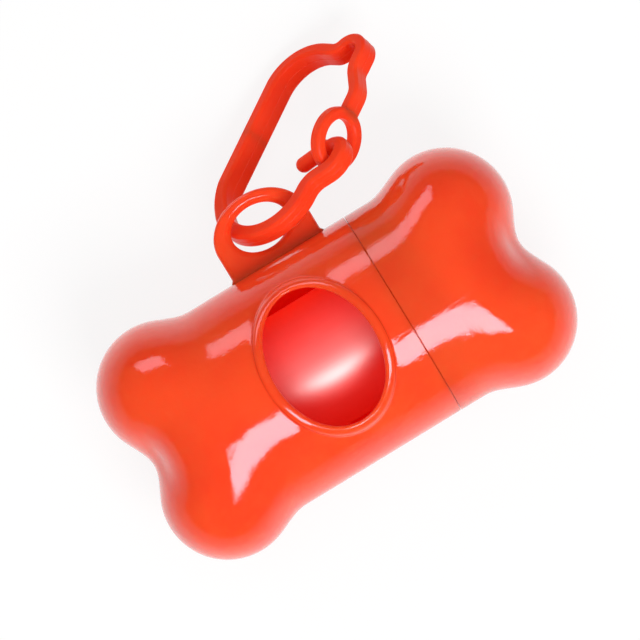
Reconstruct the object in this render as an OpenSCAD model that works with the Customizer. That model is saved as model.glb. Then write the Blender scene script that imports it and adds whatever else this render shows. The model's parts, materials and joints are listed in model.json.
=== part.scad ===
// Bone-shaped dispenser for a roll of waste bags, lying on its back, window up.
// X runs along the bone towards the cap, Y towards the hanging tab, Z up.
// The origin is on the surface that it lies on, under the middle of the bone.

/* [Bone] */
// Length of the whole bone over the lobes
bone_len = 83.4; // [80:0.2:86]
// Diameter of the round shaft between the lobes
shaft_d = 40.4; // [39.8:0.1:42]
// Width of the bone over a pair of lobes
lobe_span = 46.3; // [46:0.1:49]
// Radius of each lobe, seen from the front
lobe_r = 12.1; // [11.4:0.1:12.6]
// Height of each lobe, from the front of the bone to its back
lobe_h = 34; // [32:0.2:36]
// Size of the soft valley between the two lobes of a pair
valley_blend = 7.8; // [7:0.2:10]
// Size of the blend where the side of a lobe runs into the shaft
side_blend = 2.2; // [1.8:0.2:3]
// How much larger that blend is at the front and the back
front_blend = 4; // [3:0.2:5]

/* [Case and cap] */
// Length of the cap, from the seam to the end of its lobes
cap_len = 28; // [26:0.1:31]
// Width of the seam between the case and the cap
seam_gap = 0.15; // [0.1:0.05:0.3]
// Radius of the round bore that holds the roll
bore_r = 17.2; // [16.6:0.1:17.6]
// Length of the bore, over the case and the cap
bore_len = 59.4; // [58:0.1:60]
// Wall of the neck that the cap slides over
neck_wall = 1.4; // [1:0.1:1.6]
// Length of the neck beyond the seam
neck_len = 7; // [5:0.5:9]
// Clearance between the neck and the cap, on the radius
neck_clear = 0.05; // [0.03:0.01:0.08]
// Bevel on the mouth of the neck
neck_bevel = 0.6; // [0.3:0.1:0.8]

/* [Window] */
// Place of the window along the bone, from its middle
window_x = -2.2; // [-3:0.1:-1.5]
// Place of the window across the bone, from its axis
window_y = 0.8; // [0:0.1:1]
// Width of the opening along the bone
window_w = 19.7; // [17:0.1:20]
// Width of the opening across the bone
window_l = 25.9; // [22:0.1:26]
// Width of the raised lip round the opening
lip_w = 1.8; // [1.4:0.1:2.2]
// Height of the lip above the shaft
lip_h = 1.1; // [0.7:0.1:1.4]

/* [Hanging tab] */
// Width of the tab along the bone
tab_w = 18.3; // [17.8:0.1:20]
// Reach of the tab from the axis of the bone
tab_reach = 33; // [32.8:0.1:35]
// Height of the rounded top of the tab
tab_crown = 7.4; // [7:0.1:8]
// Thickness of the tab
tab_t = 2.8; // [2.4:0.1:3]
// Width of the eye along the bone
eye_w = 10.9; // [10.8:0.1:11.4]
// Height of the eye, away from the bone
eye_l = 8.2; // [8.1:0.1:8.6]
// Distance from the axis of the bone to the middle of the eye
eye_y = 26.5; // [26.4:0.1:27]
// Bevel on the edges of the tab and of its eye
tab_bevel = 1; // [0.8:0.1:1.1]

/* [Clip] */
// Width of the spine's flat band
spine_w = 5.5; // [5:0.1:5.8]
// Thickness of the spine
spine_t = 2.5; // [2.2:0.1:2.8]
// Width of the bar of the bend and of the hooked arm
arm_w = 3.6; // [3.2:0.1:3.8]
// Thickness of that bar, in the plane of the clip
arm_t = 2.9; // [2.7:0.1:3]
// Radius of the round bottom of the clip, at the middle of the bar
bend_r = 9.7; // [9.5:0.05:9.9]
// Place of the middle of that bend across the clip
bend_x = -3.3; // [-3.5:0.1:-3.1]
// Radius of the corner at the top of the spine
crown_r = 8.3; // [8:0.1:8.6]
// Height of the top of the spine above the bottom bend
crown_l = 38.6; // [38.2:0.1:39]
// Sideways step of the arm above the bend
arm_step = 4.4; // [4.2:0.05:4.6]
// Radius of the hook's crook
crook_r = 2.6; // [2.5:0.05:2.8]
// Distance from the middle of the ring down to the middle of the crook
crook_drop = 3.65; // [3.6:0.05:3.75]
// Thickness of the hook's round peg
peg_d = 2.9; // [2.6:0.1:3]
// Length of the straight peg
peg_len = 5.1; // [4.8:0.1:5.4]
// Thickness of the hinge loop's wall
loop_t = 2.1; // [1.8:0.1:2.2]
// Radius of the hinge loop, at the middle of its wall
loop_r = 2.8; // [2.6:0.05:2.9]
// Place of the middle of the hinge loop across the clip
loop_x = 1.6; // [1.5:0.1:1.7]
// Width of the hinge loop
loop_w = 4.2; // [3.8:0.1:4.4]
// Width of the gate
gate_w = 3.6; // [3.4:0.1:4]
// Thickness of the gate
gate_t = 2.2; // [2:0.1:2.4]
// Height of the middle of the gate's ring above the bottom bend
ring_l = 21.05; // [21:0.05:21.1]
// Place of the ring across the clip
ring_x = 7.4; // [7.35:0.05:7.5]
// Half the height of the ring, at the middle of its wall
ring_half_l = 4.93; // [4.9:0.05:5]
// Half the width of the ring, at the middle of its wall
ring_half_w = 4.4; // [4.3:0.05:4.5]
// Thickness of the ring's wall
ring_wall = 2.15; // [2:0.05:2.2]
// Depth of the ring along its hole
ring_deep = 2.4; // [2.2:0.1:2.4]
// Gap where the moulding is parted at its hinge loop
web_gap = 0.3; // [0.2:0.05:0.4]
// Clearance of the rounded joint where the arm flexes
flex_clear = 0.06; // [0.04:0.01:0.1]
// Height of the bar in the eye above the middle of the tab
clip_rise = 1.4; // [1.2:0.1:1.6]
// Place of the bar in the eye along the bone, from the eye's middle
clip_shift = -1; // [-1.3:0.1:-0.7]
// Place of the bar in the eye, from the eye's middle towards the bone
clip_drop = 1.5; // [1.3:0.1:1.7]

/* [Clip attitude] */
// How far the clip leans down to the surface, in degrees
clip_lean = 18.5; // [18.2:0.1:18.6]
// How far the clip is turned about its own length, in degrees
clip_turn = 48.5; // [47:0.5:50]
// Direction of the spine, in degrees from the bone's axis
clip_yaw = 33.1; // [32:0.1:34]

/* [Bag roll] */
// Diameter of the wound bags
roll_d = 24; // [22:0.2:26]
// Length of the roll
roll_len = 56.4; // [55:0.2:57]
// Outer diameter of the core
core_d = 13; // [11:0.2:15]
// Wall of the core
core_wall = 0.8; // [0.6:0.1:1.2]
// How far the core stands out of the bags at each end
core_proud = 0.4; // [0.2:0.1:0.6]
// Gap under the roll where it lies in the bore
roll_gap = 0.3; // [0.2:0.05:0.4]

/* [Hidden] */
$fn = 96;
join = 0.01;

// ---- bone surface -------------------------------------------------------
lobe_x = bone_len / 2 - lobe_r;
lobe_y = lobe_span / 2 - lobe_r;
lobe_flat = 2 * lobe_r / lobe_h;
shaft_r = shaft_d / 2;
shaft_round = 11;
shaft_past_lobe = 5.2;
swell = 0.05;
axis_z = shaft_r + swell;
shaft_half = lobe_x + shaft_past_lobe;
seam_x = bone_len / 2 - cap_len;
turns = 64;
bands = 44;
search_far = bone_len;
search_steps = 20;

// distance to the shaft, a round bar with rounded ends
function shaft_gap(p) =
    let (a = norm([p[1], p[2]]) - shaft_r + shaft_round,
         b = abs(p[0]) - shaft_half + shaft_round)
    norm([max(a, 0), max(b, 0)]) + min(max(a, b), 0) - shaft_round;

// distance to one lobe, a ball stretched from front to back
function lobe_gap(x, y, z) = norm([x - lobe_x, y - lobe_y, z * lobe_flat]) - lobe_r;

// the lesser of two distances, with a soft step between them
function blend(a, b, k) = min(a, b) - pow(max(k - abs(a - b), 0) / k, 2) * k / 4;

function bone_gap(p) =
    let (x = abs(p[0]), y = abs(p[1]),
         lobes = blend(lobe_gap(x, y, p[2]), lobe_gap(x, -y, p[2]), valley_blend),
         rise = min(abs(p[2]) / shaft_r, 1))
    blend(shaft_gap(p), lobes, side_blend + front_blend * rise * rise);

// where a line from the middle of the bone leaves its surface
function reach(d, near = 0, far = search_far, n = search_steps) =
    let (mid = (near + far) / 2)
    n == 0 ? mid : bone_gap(d * mid) > 0 ? reach(d, near, mid, n - 1) : reach(d, mid, far, n - 1);

function aim(i, j) =
    let (t = 180 * i / bands, u = 360 * j / turns)
    [cos(t), sin(t) * cos(u), sin(t) * sin(u)];

bone_points = concat(
    [reach([1, 0, 0]) * [1, 0, 0]],
    [for (i = [1:bands - 1], j = [0:turns - 1]) reach(aim(i, j)) * aim(i, j)],
    [reach([-1, 0, 0]) * [-1, 0, 0]]);
bone_last = len(bone_points) - 1;
function bone_at(i, j) = 1 + (i - 1) * turns + (j % turns);
bone_faces = concat(
    [for (j = [0:turns - 1]) [0, bone_at(1, j + 1), bone_at(1, j)]],
    [for (i = [1:bands - 2], j = [0:turns - 1]) [bone_at(i, j), bone_at(i, j + 1), bone_at(i + 1, j)]],
    [for (i = [1:bands - 2], j = [0:turns - 1])
        [bone_at(i, j + 1), bone_at(i + 1, j + 1), bone_at(i + 1, j)]],
    [for (j = [0:turns - 1]) [bone_last, bone_at(bands - 1, j), bone_at(bands - 1, j + 1)]]);

module bone() {
    translate([0, 0, axis_z]) polyhedron(bone_points, bone_faces, convexity = 6);
}

// a round bar along the bone, from x0 to x1
module along(r, x0, x1) {
    translate([x0, 0, axis_z]) rotate([0, 90, 0]) cylinder(r = r, h = x1 - x0);
}

// everything on one side of the seam
module case_side() {
    translate([-bone_len, -bone_len, -bone_len]) cube([bone_len + seam_x, 2 * bone_len, 3 * bone_len]);
}
module cap_side() {
    translate([seam_x + seam_gap, -bone_len, -bone_len]) cube([bone_len, 2 * bone_len, 3 * bone_len]);
}

// ---- window -------------------------------------------------------------
oval_sides = 72;
module oval(w, l) {
    polygon([for (i = [0:oval_sides - 1])
        [w / 2 * cos(360 * i / oval_sides), l / 2 * sin(360 * i / oval_sides)]]);
}

module window_shape(extra) {
    translate([window_x, window_y, axis_z])
        linear_extrude(shaft_r + 2 * lip_h) oval(window_w + 2 * extra, window_l + 2 * extra);
}

module window_lip() {
    intersection() {
        window_shape(lip_w);
        along(shaft_r + lip_h, window_x - window_w, window_x + window_w);
    }
}

// ---- hanging tab --------------------------------------------------------
tab_sink = 2.2;
tab_root = shaft_r - tab_sink;
crown_y = tab_reach - tab_crown;
crown_steps = 24;
tab_outline = concat(
    [[-tab_w / 2, tab_root], [tab_w / 2, tab_root]],
    [for (i = [0:crown_steps])
        [tab_w / 2 * cos(180 * i / crown_steps), crown_y + tab_crown * sin(180 * i / crown_steps)]]);

// a flat shape with its edges bevelled all round
module bevelled(t, bevel, in_w, in_l) {
    linear_extrude(t - 2 * bevel, center = true) children();
    for (side = [0, 1]) mirror([0, 0, side]) translate([0, 0, t / 2 - bevel - join])
        linear_extrude(bevel + join, slices = 1, scale = [1 - 2 * bevel / in_w, 1 - 2 * bevel / in_l])
            children();
}

module tab() {
    difference() {
        translate([0, tab_root, axis_z])
            bevelled(tab_t, tab_bevel, tab_w, 2 * (tab_reach - tab_root))
                translate([0, -tab_root]) polygon(tab_outline);
        translate([0, eye_y, axis_z]) eye_cut();
    }
}

module eye_cut() {
    linear_extrude(tab_t, center = true) oval(eye_w, eye_l);
    for (side = [0, 1]) mirror([0, 0, side]) translate([0, 0, tab_t / 2 - tab_bevel])
        linear_extrude(2 * tab_bevel, slices = 1,
            scale = [1 + 4 * tab_bevel / eye_w, 1 + 4 * tab_bevel / eye_l])
            oval(eye_w, eye_l);
}

// ---- case and cap -------------------------------------------------------
neck_r = bore_r + neck_wall;
module main_case() color([0.95, 0.22, 0.08]) {
    difference() {
        union() {
            intersection() {
                bone();
                case_side();
            }
            window_lip();
            tab();
            neck();
        }
        along(bore_r, -bore_len / 2, bone_len);
        window_shape(0);
    }
}

module neck() {
    along(neck_r, seam_x - neck_len, seam_x + neck_len - neck_bevel);
    translate([seam_x + neck_len - neck_bevel, 0, axis_z]) rotate([0, 90, 0])
        cylinder(r1 = neck_r, r2 = neck_r - neck_bevel, h = neck_bevel);
}

module end_cap() color([0.95, 0.22, 0.08]) {
    difference() {
        intersection() {
            bone();
            cap_side();
        }
        along(neck_r + neck_clear, 0, seam_x + neck_len + 1);
        along(bore_r, 0, bore_len / 2);
    }
}

// ---- bag roll -----------------------------------------------------------
roll_z = axis_z - bore_r + roll_d / 2 + roll_gap;
module tube_x(d, hole, length) {
    translate([-length / 2, 0, roll_z]) rotate([0, 90, 0]) difference() {
        cylinder(d = d, h = length);
        translate([0, 0, -1]) cylinder(d = hole, h = length + 2);
    }
}

module bag_film() color([0.8, 0.05, 0.04]) tube_x(roll_d, core_d, roll_len);

module roll_core() color([0.72, 0.6, 0.44])
    tube_x(core_d, core_d - 2 * core_wall, roll_len + 2 * core_proud);

// ---- clip ---------------------------------------------------------------
// The clip is drawn flat: x across it, y along it, its thickness along z. Its
// bottom bend passes through the eye, where the drawing's origin is.
clip_at = [clip_shift, eye_y - clip_drop, axis_z + clip_rise];
yaw_dir = [cos(clip_yaw), sin(clip_yaw), 0];
side_dir = [sin(clip_yaw), -cos(clip_yaw), 0];
up_dir = [0, 0, 1];
tilt_dir = yaw_dir * sin(clip_lean) + up_dir * cos(clip_lean);
clip_l = yaw_dir * cos(clip_lean) - up_dir * sin(clip_lean);
clip_w = side_dir * cos(clip_turn) + tilt_dir * sin(clip_turn);
clip_n = tilt_dir * cos(clip_turn) - side_dir * sin(clip_turn);

module clip_place() {
    multmatrix([
        [clip_w[0], clip_l[0], clip_n[0], clip_at[0]],
        [clip_w[1], clip_l[1], clip_n[1], clip_at[1]],
        [clip_w[2], clip_l[2], clip_n[2], clip_at[2]]]) children();
}

arc_steps = 8;
short_steps = 6;
long_steps = 14;
// points of an arc about c, from angle a to angle b
function arc(c, r, a, b, n = arc_steps) =
    [for (i = [0:n]) let (t = a + (b - a) * i / n) c + r * [cos(t), sin(t)]];

// stations [x, y, thickness, width] along some points, growing from size s to size e
function stations(points, s, e) =
    let (n = len(points) - 1)
    [for (i = [0:n]) concat(points[i], s + (e - s) * i / n)];

// a softly squared section of the thickness and width of a station
section_sides = 16;
section_power = 0.5;
function soft(v) = sign(v) * pow(abs(v), section_power);
function heading(s, i) =
    let (a = s[max(i - 1, 0)], b = s[min(i + 1, len(s) - 1)], d = [b[0] - a[0], b[1] - a[1]])
    d / norm(d);
function rib(s, i) =
    let (h = heading(s, i), side = [h[1], -h[0]])
    [for (k = [0:section_sides - 1])
        let (a = 360 * k / section_sides, u = s[i][2] / 2 * soft(cos(a)), v = s[i][3] / 2 * soft(sin(a)))
        [s[i][0] + side[0] * u, s[i][1] + side[1] * u, v]];

// the faces between rings of m points, from ring i to ring i + 1
function skin(i, j, m) = concat(
    [for (k = [0:m - 1]) [i * m + k, i * m + (k + 1) % m, j * m + k]],
    [for (k = [0:m - 1]) [i * m + (k + 1) % m, j * m + (k + 1) % m, j * m + k]]);

// a solid bar along stations
module bar(s) {
    n = len(s);
    m = section_sides;
    points = [for (i = [0:n - 1]) each rib(s, i)];
    faces = concat(
        [[for (k = [0:m - 1]) m - 1 - k]],
        [for (i = [0:n - 2]) each skin(i, i + 1, m)],
        [[for (k = [0:m - 1]) (n - 1) * m + k]]);
    polyhedron(points, faces, convexity = 6);
}

// the spine, from the hinge loop round the crown and down to the joint that flexes
bend_c = [bend_x, bend_r];
spine_x = bend_x - bend_r;
crown_c = [spine_x + crown_r, crown_l - crown_r];
crown_taper = 0.9;
neck_taper = 0.86;
flex_angle = 215;
flex_at = bend_c + bend_r * [cos(flex_angle), sin(flex_angle)];
flex_pin_w = 0.8 * arm_w;
loop_dip = 0.2;
loop_c = [loop_x, crown_l - loop_dip];
loop_turn = 150;
loop_end = loop_c + loop_r * [cos(loop_turn), sin(loop_turn)];
throat_turn = loop_turn - 90;
throat_r = (loop_end[1] - crown_l) / (1 - cos(throat_turn));
throat_c = [loop_end[0] - throat_r * sin(throat_turn), crown_l + throat_r];
throat_skip = 9;
throat_start = throat_turn - 90 - throat_skip;
web_half = web_gap / 2 / loop_r * 180 / PI;
crown_start = 92;
bend_start = 182;
straight_end = 2;
spine_size = [spine_t, spine_w];
arm_size = [arm_t, arm_w];
loop_size = [loop_t, loop_w];
frame_run = concat(
    stations(arc(loop_c, loop_r, 90 + web_half, loop_turn), loop_size, loop_size),
    stations(arc(throat_c, throat_r, throat_start, -90, short_steps),
        loop_size, [spine_t, spine_w * neck_taper]),
    stations(arc(crown_c, crown_r, crown_start, 180, long_steps),
        [spine_t, spine_w * crown_taper], spine_size),
    stations([
        [spine_x, crown_c[1] - straight_end],
        [spine_x, (crown_c[1] + bend_c[1]) / 2],
        [spine_x, bend_c[1] + straight_end]], spine_size, spine_size),
    stations(arc(bend_c, bend_r, bend_start, flex_angle, short_steps), spine_size, arm_size));

module clip_frame() color([0.93, 0.2, 0.09]) clip_place() {
    bar(frame_run);
    translate([flex_at[0], flex_at[1], 0]) cylinder(d = arm_t, h = flex_pin_w, center = true);
}

// the hooked arm, from the joint round the bend and up to the crook, with its peg
arm_x = bend_x + bend_r;
arm_turn = 50;
arm_arc_r = 3;
arm_rise = arm_arc_r * sin(arm_turn);
arm_side = arm_arc_r * (1 - cos(arm_turn));
arm_slope = (arm_step - 2 * arm_side) / tan(arm_turn);
arm_top = bend_c[1] + 2 * arm_rise + arm_slope;
crook_c = [arm_x + arm_step - crook_r, ring_l - crook_drop];
crook_turn = 135;
crook_start = 8;
crook_end = crook_c + crook_r * [cos(crook_turn), sin(crook_turn)];
peg_size = [peg_d, peg_d];
flex_skip = 0.6 * arm_t / 2 / bend_r * 180 / PI;
arm_run = concat(
    stations(arc(bend_c, bend_r, flex_angle + flex_skip, 360, long_steps), arm_size, arm_size),
    stations(arc([arm_x + arm_arc_r, bend_c[1]], arm_arc_r, 180 - crook_start, 180 - arm_turn, short_steps),
        arm_size, arm_size),
    stations(arc([arm_x + arm_step - arm_arc_r, arm_top], arm_arc_r, -arm_turn, 0, short_steps),
        arm_size, arm_size),
    stations(arc(crook_c, crook_r, crook_start, crook_turn, long_steps), arm_size, peg_size));

module peg() {
    translate([crook_end[0], crook_end[1], 0]) rotate([0, 0, crook_turn]) rotate([-90, 0, 0]) {
        cylinder(d = peg_d, h = peg_len - peg_d / 2);
        translate([0, 0, peg_len - peg_d / 2]) sphere(d = peg_d);
    }
}

module clip_hook_arm() color([0.93, 0.2, 0.09]) clip_place() {
    peg();
    difference() {
        bar(arm_run);
        translate([flex_at[0], flex_at[1], 0])
            cylinder(d = arm_t + 2 * flex_clear, h = 2 * spine_w, center = true);
    }
}

// the gate, from the hinge loop down to its ring
gate_x = loop_x + loop_r;
gate_leg = 2.1;
gate_top = loop_c[1] - gate_leg;
gate_turn = 35;
gate_arc_r = 4;
gate_end = 1;
gate_rise = gate_arc_r * sin(gate_turn);
gate_side = gate_arc_r * (1 - cos(gate_turn));
gate_slope = (ring_x - gate_x - 2 * gate_side) / tan(gate_turn);
gate_low = gate_top - 2 * gate_rise - gate_slope;
gate_size = [gate_t, gate_w];
gate_run = concat(
    stations(arc(loop_c, loop_r, 90 - web_half, 0), loop_size, loop_size),
    stations(arc([gate_x + gate_arc_r, gate_top], gate_arc_r, 180, 180 + gate_turn, short_steps),
        loop_size, gate_size),
    stations(arc([ring_x - gate_arc_r, gate_low], gate_arc_r, gate_turn, 0, short_steps),
        gate_size, gate_size),
    stations([[ring_x, gate_low - gate_end], [ring_x, ring_l + ring_half_l]], gate_size, gate_size));

ring_steps = 44;
// the ring's wall at step i: half its height and width, and the normal of the oval there
function hoop_rib(i) =
    let (t = -360 * i / ring_steps,
         at = [0, ring_half_l * sin(t), ring_half_w * cos(t)],
         out = [0, ring_half_w * sin(t), ring_half_l * cos(t)],
         side = out / norm(out))
    [for (k = [0:section_sides - 1])
        let (a = 360 * k / section_sides)
        at + side * ring_wall / 2 * soft(cos(a)) + [ring_deep / 2 * soft(sin(a)), 0, 0]];
module hoop() {
    points = [for (i = [0:ring_steps - 1]) each hoop_rib(i)];
    faces = [for (i = [0:ring_steps - 1]) each skin(i, (i + 1) % ring_steps, section_sides)];
    polyhedron(points, faces, convexity = 6);
}

module clip_gate() color([0.93, 0.2, 0.09]) clip_place() {
    bar(gate_run);
    translate([ring_x, ring_l, 0]) hoop();
}

main_case();
end_cap();
bag_film();
roll_core();
clip_frame();
clip_hook_arm();
clip_gate();
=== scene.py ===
import json
import math
import bmesh
import bpy
import numpy as np
from mathutils import Matrix, Vector


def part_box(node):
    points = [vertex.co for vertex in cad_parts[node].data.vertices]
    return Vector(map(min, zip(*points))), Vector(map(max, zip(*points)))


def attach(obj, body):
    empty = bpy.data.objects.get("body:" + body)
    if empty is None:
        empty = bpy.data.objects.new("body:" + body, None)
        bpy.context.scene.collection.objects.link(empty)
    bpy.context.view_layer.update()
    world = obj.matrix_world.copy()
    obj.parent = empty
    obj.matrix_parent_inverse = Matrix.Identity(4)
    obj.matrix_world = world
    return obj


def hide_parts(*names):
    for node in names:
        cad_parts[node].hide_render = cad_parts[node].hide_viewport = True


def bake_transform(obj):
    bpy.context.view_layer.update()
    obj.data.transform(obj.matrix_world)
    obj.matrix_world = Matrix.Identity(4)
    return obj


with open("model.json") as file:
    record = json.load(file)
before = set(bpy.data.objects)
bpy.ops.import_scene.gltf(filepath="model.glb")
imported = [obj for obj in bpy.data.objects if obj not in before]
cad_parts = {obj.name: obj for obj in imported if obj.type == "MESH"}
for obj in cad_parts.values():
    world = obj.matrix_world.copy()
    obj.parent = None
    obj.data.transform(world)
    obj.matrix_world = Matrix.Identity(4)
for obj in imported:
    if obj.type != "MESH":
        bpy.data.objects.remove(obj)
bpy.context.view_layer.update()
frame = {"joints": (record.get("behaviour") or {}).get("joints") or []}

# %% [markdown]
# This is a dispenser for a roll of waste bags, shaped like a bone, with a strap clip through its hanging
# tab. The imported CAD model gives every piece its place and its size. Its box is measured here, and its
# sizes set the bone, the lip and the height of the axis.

scene = bpy.context.scene
mm = 0.001
case_low, case_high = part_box("main_case")
cap_low, cap_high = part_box("end_cap")
axis_z = (cap_low.z + cap_high.z) / 2
print("height of the bone's axis", round(axis_z / mm, 2), "mm")

# %% [markdown]
# A new mesh is made in a bmesh, and one helper turns the finished bmesh into an object. Doubles are
# merged first, and then the faces are turned outwards. Faces are shaded smooth, and an edge that
# folds by more than 35 degrees stays sharp. A closed skin has no open edges, so they are counted.

# %% Objects from bmesh
SHARP = math.radians(35)
DOUBLE = 0.0005 * mm

def finished(name, bm, closed=True):
    bmesh.ops.remove_doubles(bm, verts=bm.verts, dist=DOUBLE)
    bmesh.ops.recalc_face_normals(bm, faces=bm.faces)
    for face in bm.faces:
        face.smooth = True
    open_edges = sum(1 for edge in bm.edges if len(edge.link_faces) != 2)
    mesh = bpy.data.meshes.new(name)
    bm.to_mesh(mesh)
    bm.free()
    mesh.set_sharp_from_angle(angle=SHARP)
    obj = bpy.data.objects.new(name, mesh)
    scene.collection.objects.link(obj)
    print(name, len(mesh.polygons), "faces,", open_edges if closed else "-", "open edges")
    return obj

def new_items(made, kind):
    return [item for item in made["geom"] if isinstance(item, kind)]

print("edges stay sharp above", round(math.degrees(SHARP)), "degrees")

# %% [markdown]
# The bone is one smooth surface: a round shaft with two lobes at each end, joined by soft valleys.
# No primitive has this shape, so it is written as a distance. The shaft is a bar with rounded ends,
# each lobe is a ball stretched from front to back, and the distance to all of them is softened where
# they meet. The lobes melt into the shaft over a longer way at the front than at the sides, which is
# what lets a highlight run on from the shaft to the lobe. The same sizes drive the CAD source.

# %% The bone as a distance
BONE_LEN = cap_high.x - case_low.x
LOBE_SPAN = cap_high.y - cap_low.y
LOBE_H = 34 * mm
SHAFT_R = 20.2 * mm
SHAFT_ROUND = 11 * mm
SHAFT_PAST_LOBE = 5.2 * mm
LOBE_R = 12.1 * mm
VALLEY_BLEND = 7.8 * mm
SIDE_BLEND = 2.2 * mm
FRONT_BLEND = 4 * mm
LOBE_X = BONE_LEN / 2 - LOBE_R
LOBE_Y = LOBE_SPAN / 2 - LOBE_R
LOBE_FLAT = 2 * LOBE_R / LOBE_H
SHAFT_HALF = LOBE_X + SHAFT_PAST_LOBE

def shaft_gap(p):
    a = np.hypot(p[:, 1], p[:, 2]) - SHAFT_R + SHAFT_ROUND
    b = np.abs(p[:, 0]) - SHAFT_HALF + SHAFT_ROUND
    past = np.hypot(np.maximum(a, 0), np.maximum(b, 0))
    return past + np.minimum(np.maximum(a, b), 0) - SHAFT_ROUND

def lobe_gap(p, side):
    x = np.abs(p[:, 0]) - LOBE_X
    y = side * np.abs(p[:, 1]) - LOBE_Y
    z = p[:, 2] * LOBE_FLAT
    return np.sqrt(x * x + y * y + z * z) - LOBE_R

def soft_union(a, b, size):
    step = np.maximum(size - np.abs(a - b), 0) / size
    return np.minimum(a, b) - step * step * size / 4

def bone_gap(p):
    lobes = soft_union(lobe_gap(p, 1), lobe_gap(p, -1), VALLEY_BLEND)
    rise = np.minimum(np.abs(p[:, 2]) / SHAFT_R, 1)
    return soft_union(shaft_gap(p), lobes, SIDE_BLEND + FRONT_BLEND * rise * rise)

print("bone", round(BONE_LEN / mm, 1), "by", round(LOBE_SPAN / mm, 1), "mm")

# %% [markdown]
# A globe of quads with its poles on the bone's axis is the start. Every vertex slides along its own
# ray from the middle of the bone until the distance is nought. Halving the search range 26 times
# finds that place to a few nanometres, for all rays at once.

# %% A globe drawn onto the bone
TURNS = 180
BANDS = 176
HALVINGS = 26

def bone_skin(bm):
    turn = Matrix.Rotation(math.pi / 2, 4, "Y")
    bmesh.ops.create_uvsphere(bm, u_segments=TURNS, v_segments=BANDS, radius=1, matrix=turn)
    rays = np.array([vert.co for vert in bm.verts])
    rays /= np.linalg.norm(rays, axis=1)[:, None]
    near = np.zeros(len(rays))
    far = np.full(len(rays), BONE_LEN)
    for _ in range(HALVINGS):
        middle = (near + far) / 2
        outside = bone_gap(rays * middle[:, None]) > 0
        far = np.where(outside, middle, far)
        near = np.where(outside, near, middle)
    for vert, ray, length in zip(bm.verts, rays, far):
        vert.co = Vector(ray * length) + Vector((0, 0, axis_z))

case = bmesh.new()
bone_skin(case)
print("the globe has", len(case.verts), "vertices")

# %% [markdown]
# The case is the bone on one side of the seam. A cutting plane leaves an open ring there. The ring is
# carried on, step by step, to draw what the plane has opened: each step extrudes the ring's edges
# and sets the new ring to a radius about the bone's axis. A rounded corner is a few such steps.

# %% Rings about the bone's axis
EDGE_STEPS = 5

def seam_ring(bm, x, side):
    """Cut the bone at x and keep the part on one side; the open ring's edges come back."""
    everything = bm.verts[:] + bm.edges[:] + bm.faces[:]
    bmesh.ops.bisect_plane(bm, geom=everything, plane_co=(x, 0, axis_z), plane_no=(side, 0, 0),
                           clear_outer=True)
    return [edge for edge in bm.edges if edge.is_boundary]

def carry_ring(bm, edges, x, radius):
    made = bmesh.ops.extrude_edge_only(bm, edges=edges)
    for vert in new_items(made, bmesh.types.BMVert):
        out = Vector((0, vert.co.y, vert.co.z - axis_z)).normalized() * radius
        vert.co = (x, out.y, out.z + axis_z)
    return new_items(made, bmesh.types.BMEdge)

def round_corner(x, radius, along, size):
    """Places of a ring that turns inwards, from a run along the axis to a run across it."""
    turns = [math.pi / 2 * (i + 1) / EDGE_STEPS for i in range(EDGE_STEPS)]
    return [(x + along * size * math.sin(a), radius - size * (1 - math.cos(a))) for a in turns]

print("a rounded corner takes", EDGE_STEPS, "rings")

# %% [markdown]
# The ring goes round the edge, across the seam face, along the neck that the cap slides over, round
# the neck's mouth, and back down the bore to a closed end. A ring set just before and after a corner
# keeps the corner crisp under smooth shading.

# %% The case's neck and bore
SEAM_X = 13.7 * mm
SEAM_EDGE = 0.13 * mm
BORE_R = 17.2 * mm
BORE_END = 29.7 * mm
BORE_CORNER = 1.2 * mm
BORE_STEP = 0.8 * mm
NECK_R = 18.6 * mm
NECK_LEN = 7 * mm
NECK_BEVEL = 0.6 * mm
KEEP = 0.2 * mm
MOUTH_BEVEL = 0.15 * mm
NECK_SHARES = (0.05, 0.5, 0.95)
END_SHARES = (0.85, 0.6, 0.3)
neck_end = SEAM_X + NECK_LEN
edge_x = SEAM_X - SEAM_EDGE
ring = seam_ring(case, edge_x, 1)
places = round_corner(edge_x, SHAFT_R, 1, SEAM_EDGE)
places += [(SEAM_X, NECK_R + KEEP), (SEAM_X, NECK_R)]
places += [(SEAM_X + share * (NECK_LEN - NECK_BEVEL), NECK_R) for share in NECK_SHARES]
places += round_corner(neck_end - NECK_BEVEL, NECK_R, 1, NECK_BEVEL)
places += [(neck_end, BORE_R + MOUTH_BEVEL), (neck_end - MOUTH_BEVEL, BORE_R)]
bore_steps = round((neck_end + BORE_END - BORE_CORNER) / BORE_STEP)
bore_start, bore_stop = neck_end - BORE_STEP, BORE_CORNER - BORE_END
places += [(float(x), BORE_R) for x in np.linspace(bore_start, bore_stop, bore_steps)]
places += round_corner(BORE_CORNER - BORE_END, BORE_R, -1, BORE_CORNER)
places += [(-BORE_END, BORE_R * share) for share in END_SHARES]
for x, radius in places:
    ring = carry_ring(case, ring, x, radius)
bmesh.ops.edgeloop_fill(case, edges=ring)
print("the ring was carried through", len(places), "places")

# %% [markdown]
# The window is an oval in a grid of quads. A patch of the grid is deleted, and its stepped edge is
# drawn in towards the oval in a few rings that stay on the round wall. The same two helpers open the
# skin and the bore.

# %% An oval hole in a round wall
WINDOW_X = -2.2 * mm
WINDOW_Y = 0.8 * mm
WINDOW_W = 19.7 * mm
WINDOW_L = 25.9 * mm
ON_WALL = 0.01 * mm
DRAW_STEPS = 5

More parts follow.
